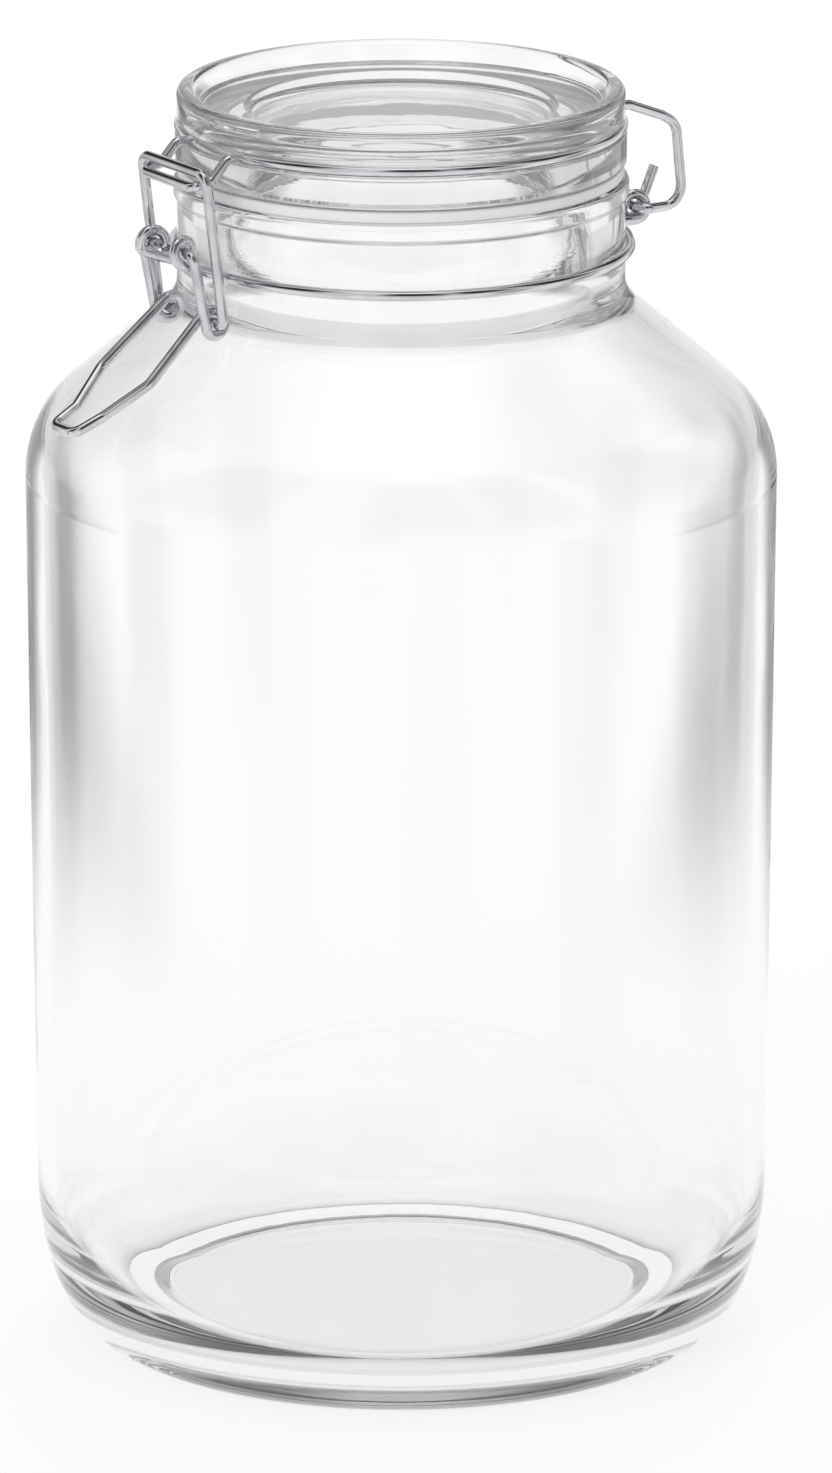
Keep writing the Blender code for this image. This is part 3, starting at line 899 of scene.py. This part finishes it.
@dataclass
class Bail(BentWire):
    """The wire that swings up from the lever's loops and over the lid's tab."""

    rest_share: float = 0.55
    corner_bend: float = 3.2 * MM

    def build(self, axis: Vector, lever: Lever, band: NeckBand, band_up: float, lid_wire: LidWire,
              ring: float, ring_up: float) -> bpy.types.Object:
        """Bend the bail.

        Args:
            axis: Where the jar's axis meets the base plane.
            lever: The lever whose loops hold its feet.
            band: The neck band that carries the lever.
            band_up: Height of that band.
            lid_wire: The wire whose tab it rests on.
            ring: Radius of that wire's ring.
            ring_up: Height of that ring.

        Returns:
            The bail.
        """
        knee, end = (Vector(place) for place in lid_wire.tab(ring, ring_up))
        along = (end - knee).normalized()
        lift = WIRES.band_radius + WIRES.lever_radius + GAPS.resting
        bar = knee.lerp(end, self.rest_share) + Vector((-along.y, along.x)) * lift
        loop = lever.loop(band.clasp(band_up))
        shank = lever.side(band)
        side = shank + 2 * WIRES.lever_radius + GAPS.turning
        foot_end = shank - WIRES.coil_pitch - WIRES.lever_radius
        at_clasp = End.CLASP.place
        corners: list[Corner] = [
            (at_clasp(foot_end, *loop), 0.0),
            (at_clasp(side, *loop), WIRES.bend),
            (at_clasp(side, *bar), self.corner_bend),
            (at_clasp(0.0, *bar), 0.0),
        ]
        return self.sweep("bail_wire", corners, WIRES.lever_radius, axis)


@dataclass(frozen=True)
class Card:
    """A grey card beside the set, seen only in glass and metal. Angles are in degrees."""

    toward: float
    strength: float
    wide: float = 12.5
    flat: float = 4.0

    @property
    def bearing(self) -> float:
        """Where it stands, as an angle round the jar."""
        return math.radians(self.toward)

    @property
    def reach(self) -> float:
        """How far its soft edge reaches from its middle."""
        return math.radians(self.wide)

    @property
    def core(self) -> float:
        """How far its even part reaches from its middle."""
        return math.radians(self.flat)


@dataclass(frozen=True)
class Lamp:
    """A square soft lamp, which lights the set and isn't seen in glass or metal."""

    name: str
    place: tuple[float, float, float]
    size: float
    power: float

    def hang(self, aim: Vector) -> None:
        """Hang the lamp.

        Args:
            aim: The place that it points at.
        """
        data = bpy.data.lights.new(self.name, "AREA")
        data.size = self.size
        data.energy = self.power
        made = bpy.data.objects.new(self.name, data)
        bpy.context.scene.collection.objects.link(made)
        made.location = self.place
        made.rotation_euler = (aim - Vector(self.place)).to_track_quat("-Z", "Y").to_euler()
        made.visible_glossy = False
        made.visible_transmission = False


@dataclass
class Studio:
    """White sweep, soft lamps and the camera of the photograph.

    Glass and metal show cards that the eye doesn't: grey ones on the floor, and dark ones in a band of the
    sky. A dark card's level is dark where it is mirrored and dark_through where it is seen through glass.

    Light that enters the thick heel is passed on inside the glass many times before it leaves. The bounce
    limit is raised to follow it, because at the usual limit it is cut off and the heel turns nearly black.
    """

    floor_radius: float = 6.0
    floor_white: str = "#ffffff"
    shadow_share: float = 0.16
    dark: float = 0.04
    dark_through: float = 0.26
    overhead: float = 1.7
    soft_light: float = 0.85
    overhead_soft: float = 0.3
    band_low: float = math.radians(14)
    band_low_soft: float = 0.2
    band_high: float = math.radians(64)
    band_high_soft: float = 0.15
    flag_near: float = 0.25
    flag_far: float = 0.6
    floor_cards: tuple[Card, ...] = (
        Card(124.5, 0.8), Card(169.5, 0.8), Card(22.5, 0.66), Card(67.5, 0.66), Card(205.0, 0.66),
        Card(247.5, 0.66), Card(292.5, 0.25), Card(337.5, 0.25))
    high_cards: tuple[Card, ...] = (
        Card(60.0, 1.0, 30.0, 8.0), Card(118.0, 1.0, 24.0, 8.0), Card(185.0, 1.0, 34.0, 10.0),
        Card(262.0, 1.0, 30.0, 8.0), Card(335.0, 1.0, 24.0, 6.0), Card(12.0, 1.0, 20.0, 5.0))
    camera_distance: float = 2.70628
    camera_height: float = 0.90275
    camera_azimuth: float = math.radians(57)
    camera_pitch: float = 0.2744
    camera_yaw: float = 0.00126
    sensor: float = 36.0
    lens: float = 524.5
    bounces: int = 32
    aim_height: float = 0.16
    lamps: tuple[Lamp, ...] = (Lamp("window_soft_box", (1.2, -2.2, 1.5), 1.0, 22.0),
                               Lamp("rear_soft_box", (-1.6, 1.4, 1.7), 1.2, 20.0))

    def floor(self) -> None:
        """Lay the floor: white to the eye and in glass and metal, with the jar's soft shadow kept."""
        mesh = bpy.data.meshes.new("studio_floor")
        reach = self.floor_radius
        corners = [(-reach, -reach, 0), (reach, -reach, 0), (reach, reach, 0), (-reach, reach, 0)]
        mesh.from_pydata(corners, [], [(0, 1, 2, 3)])
        made = bpy.data.objects.new("studio_floor", mesh)
        bpy.context.scene.collection.objects.link(made)
        paper = bpy.data.materials.new("white_sweep_paper")
        paper.use_nodes = True
        tree = paper.node_tree
        tree.nodes.clear()
        glow = add_node(tree, "ShaderNodeEmission", values={"Color": linear_colour(self.floor_white)})
        matt = add_node(tree, "ShaderNodeBsdfDiffuse", values={"Color": linear_colour(self.floor_white)})
        path = add_node(tree, "ShaderNodeLightPath")
        seen = self.seen_rays(tree, path)
        share = add_node(tree, "ShaderNodeMath", {"operation": "MULTIPLY", "use_clamp": True},
                         {1: 1 - self.shadow_share}, {0: seen})
        where = add_node(tree, "ShaderNodeTexCoord")
        reach_out = add_node(tree, "ShaderNodeVectorMath", {"operation": "LENGTH"},
                             links={0: where.outputs["Object"]})
        away = add_node(tree, "ShaderNodeMapRange", {"interpolation_type": "SMOOTHSTEP"},
                        {"From Min": self.flag_near, "From Max": self.flag_far},
                        {"Value": reach_out.outputs["Value"]})
        cards = self.flags(tree, where.outputs["Object"], self.floor_cards)
        flags = add_node(tree, "ShaderNodeMath", {"operation": "MULTIPLY"},
                         links={0: away.outputs[0], 1: cards})
        room = add_node(tree, "ShaderNodeMath", {"operation": "SUBTRACT"}, {0: 1.0}, {1: flags.outputs[0]})
        level = add_node(tree, "ShaderNodeMath", {"operation": "MAXIMUM"},
                         links={0: room.outputs[0], 1: path.outputs["Is Camera Ray"]})
        tree.links.new(level.outputs[0], glow.inputs["Strength"])
        mixed = add_node(tree, "ShaderNodeMixShader",
                         links={0: share.outputs[0], 1: matt.outputs[0], 2: glow.outputs[0]})
        add_node(tree, "ShaderNodeOutputMaterial", links={0: mixed.outputs[0]})
        mesh.materials.append(paper)

    def seen_rays(self, tree: bpy.types.NodeTree, path: bpy.types.Node) -> bpy.types.NodeSocket:
        """Tell the rays that show the set from those that light it.

        Args:
            tree: The node tree to add to.
            path: Its Light Path node.

        Returns:
            A socket that is one on camera, glossy and transmission rays.
        """
        first = add_node(tree, "ShaderNodeMath", {"operation": "MAXIMUM"},
                         links={0: path.outputs["Is Camera Ray"], 1: path.outputs["Is Glossy Ray"]})
        both = add_node(tree, "ShaderNodeMath", {"operation": "MAXIMUM"},
                        links={0: first.outputs[0], 1: path.outputs["Is Transmission Ray"]})
        return both.outputs[0]

    def flags(self, tree: bpy.types.NodeTree, where: bpy.types.NodeSocket, cards: Sequence[Card]
              ) -> bpy.types.NodeSocket:
        """Add the grey cards that stand in a ring round the set.

        Args:
            tree: The node tree to add to.
            where: A place or direction, seen from the jar.
            cards: The cards.

        Returns:
            A socket that is a card's strength on it and zero between cards.
        """
        level = add_node(tree, "ShaderNodeVectorMath", {"operation": "MULTIPLY"}, {1: (1, 1, 0)}, {0: where})
        bearing = add_node(tree, "ShaderNodeVectorMath", {"operation": "NORMALIZE"},
                           links={0: level.outputs[0]})
        total = None
        for card in cards:
            facing = add_node(tree, "ShaderNodeVectorMath", {"operation": "DOT_PRODUCT"},
                              {1: (math.cos(card.bearing), math.sin(card.bearing), 0)},
                              {0: bearing.outputs[0]})
            shade = add_node(tree, "ShaderNodeMapRange", {"interpolation_type": "SMOOTHSTEP"},
                             {"From Min": math.cos(card.reach), "From Max": math.cos(card.core),
                              "To Max": card.strength}, {"Value": facing.outputs["Value"]})
            if total is None:
                total = shade.outputs[0]
            else:
                joined = add_node(tree, "ShaderNodeMath", {"operation": "MAXIMUM"},
                                  links={0: total, 1: shade.outputs[0]})
                total = joined.outputs[0]
        return total

    def world(self) -> None:
        """White all round to the eye, with soft dark cards overhead that give glass and metal edges."""
        made = bpy.data.worlds.new("white_room")
        bpy.context.scene.world = made
        made.use_nodes = True
        tree = made.node_tree
        tree.nodes.clear()
        where = add_node(tree, "ShaderNodeTexCoord")
        parts = add_node(tree, "ShaderNodeSeparateXYZ", links={0: where.outputs["Generated"]})
        rise = add_node(tree, "ShaderNodeMath", {"operation": "ARCSINE"}, links={0: parts.outputs["Z"]})
        low = add_node(tree, "ShaderNodeMapRange", {"interpolation_type": "SMOOTHSTEP"},
                       {"From Min": self.band_low - self.band_low_soft,
                        "From Max": self.band_low + self.band_low_soft},
                       {"Value": rise.outputs[0]})
        high = add_node(tree, "ShaderNodeMapRange", {"interpolation_type": "SMOOTHSTEP"},
                        {"From Min": self.band_high - self.band_high_soft,
                         "From Max": self.band_high + self.band_high_soft, "To Min": 1.0, "To Max": 0.0},
                        {"Value": rise.outputs[0]})
        band = add_node(tree, "ShaderNodeMath", {"operation": "MULTIPLY"},
                        links={0: low.outputs[0], 1: high.outputs[0]})
        cards = self.flags(tree, where.outputs["Generated"], self.high_cards)
        dark = add_node(tree, "ShaderNodeMath", {"operation": "MULTIPLY"},
                        links={0: band.outputs[0], 1: cards})
        sky = add_node(tree, "ShaderNodeMapRange", {"interpolation_type": "SMOOTHSTEP"},
                       {"From Min": self.band_high, "From Max": self.band_high + self.overhead_soft,
                        "To Min": 1.0, "To Max": self.overhead}, {"Value": rise.outputs[0]})
        path = add_node(tree, "ShaderNodeLightPath")
        black = add_node(tree, "ShaderNodeMapRange",
                         values={"To Min": self.dark, "To Max": self.dark_through},
                         links={"Value": path.outputs["Is Transmission Ray"]})
        room = add_node(tree, "ShaderNodeMapRange",
                        links={"Value": dark.outputs[0], "To Min": sky.outputs[0],
                               "To Max": black.outputs[0]})
        plain = add_node(tree, "ShaderNodeMath", {"operation": "MULTIPLY"}, {1: self.soft_light},
                         {0: path.outputs["Is Diffuse Ray"]})
        white = add_node(tree, "ShaderNodeMath", {"operation": "MAXIMUM"},
                         links={0: plain.outputs[0], 1: path.outputs["Is Camera Ray"]})
        level = add_node(tree, "ShaderNodeMath", {"operation": "MAXIMUM"},
                         links={0: room.outputs[0], 1: white.outputs[0]})
        glow = add_node(tree, "ShaderNodeBackground", links={"Strength": level.outputs[0]})
        add_node(tree, "ShaderNodeOutputWorld", links={0: glow.outputs[0]})

    def camera(self, axis: Vector) -> None:
        """Place the camera where the photograph's was.

        Args:
            axis: Where the jar's axis meets the base plane.
        """
        data = bpy.data.cameras.new("photo_camera")
        data.sensor_fit = "HORIZONTAL"
        data.sensor_width = self.sensor
        data.lens = self.lens
        data.clip_end = 2 * self.floor_radius
        made = bpy.data.objects.new("photo_camera", data)
        bpy.context.scene.collection.objects.link(made)
        heading = self.camera_azimuth - math.pi / 2
        made.location = axis + Vector((self.camera_distance * math.cos(heading),
                                       self.camera_distance * math.sin(heading), self.camera_height))
        made.rotation_euler = (math.pi / 2 - self.camera_pitch, 0.0, self.camera_azimuth - self.camera_yaw)
        bpy.context.scene.camera = made

    def build(self, axis: Vector) -> None:
        """Set up the whole studio round the jar.

        Args:
            axis: Where the jar's axis meets the base plane.
        """
        self.floor()
        self.world()
        self.camera(axis)
        for lamp in self.lamps:
            lamp.hang(axis + Vector((0, 0, self.aim_height)))
        bpy.context.scene.view_settings.view_transform = "Standard"
        light_paths = bpy.context.scene.cycles
        light_paths.max_bounces = self.bounces
        light_paths.glossy_bounces = self.bounces
        light_paths.transmission_bounces = self.bounces


@dataclass
class StorageJar:
    """The whole jar: glass, seal and wires, on the bodies that carry them."""

    body: JarBody = field(default_factory=JarBody)
    seal: Seal = field(default_factory=Seal)
    lid: Lid = field(default_factory=Lid)
    band: NeckBand = field(default_factory=NeckBand)
    lid_wire: LidWire = field(default_factory=LidWire)
    lever: Lever = field(default_factory=Lever)
    bail: Bail = field(default_factory=Bail)

    def axis(self) -> Vector:
        """Where the jar's axis meets the base plane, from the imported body."""
        low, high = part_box("glass_jar")
        return Vector(((low.x + high.x) / 2, (low.y + high.y) / 2, 0.0))

    def seat(self, piece: bpy.types.Object, finish: bpy.types.Material, node: str, carrier: str
             ) -> None:
        """Dress a piece and put it in its node's place.

        Args:
            piece: The piece.
            finish: Its material.
            node: The node that it stands for.
            carrier: The body that it rides on.
        """
        piece.data.materials.append(finish)
        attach(piece, carrier)
        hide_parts(node)
        LOG.info("%s stands for %s on %s", piece.name, node, carrier)

    def build(self) -> None:
        """Build every piece."""
        axis = self.axis()
        glass = MouldedGlass("blown_soda_lime_glass").make()
        lid_glass = MouldedGlass("pressed_soda_lime_glass", wave=22 * MM, wave_depth=0.06 * MM).make()
        silicone = MouldedSilicone().make()
        band_steel = DrawnSteel("drawn_band_steel", Wear.EVEN).make()
        grip_steel = DrawnSteel("drawn_grip_steel", Wear.HANDLED).make()
        band_up = self.body.band_up
        seal_up = self.body.mouth_up + GAPS.seated
        lid_up = seal_up + self.seal.thickness + GAPS.seated
        ring = self.lid.wire_ring
        ring_up = lid_up + self.lid.wire_rise
        self.seat(self.body.build(axis), glass, "glass_jar", "jar")
        self.seat(self.band.build(axis, band_up), band_steel, "neck_band", "jar")
        self.seat(self.lid.build(axis, lid_up), lid_glass, "glass_lid", "lid")
        seal = self.seal.build(axis, seal_up, self.lid.spigot_radius + GAPS.seated)
        self.seat(seal, silicone, "gasket", "lid")
        lid_wire = self.lid_wire.build(axis, ring, ring_up, self.band, band_up)
        self.seat(lid_wire, band_steel, "lid_wire", "lid")
        self.seat(self.lever.build(axis, self.band, band_up), grip_steel, "lever", "lever")
        bail = self.bail.build(axis, self.lever, self.band, band_up, self.lid_wire, ring, ring_up)
        self.seat(bail, grip_steel, "bail", "bail")


def main() -> None:
    """Build the jar and the studio."""
    logging.basicConfig(level=logging.INFO, format="%(message)s")
    jar = StorageJar()
    jar.build()
    Studio().build(jar.axis())


if __name__ == "__main__":
    main()
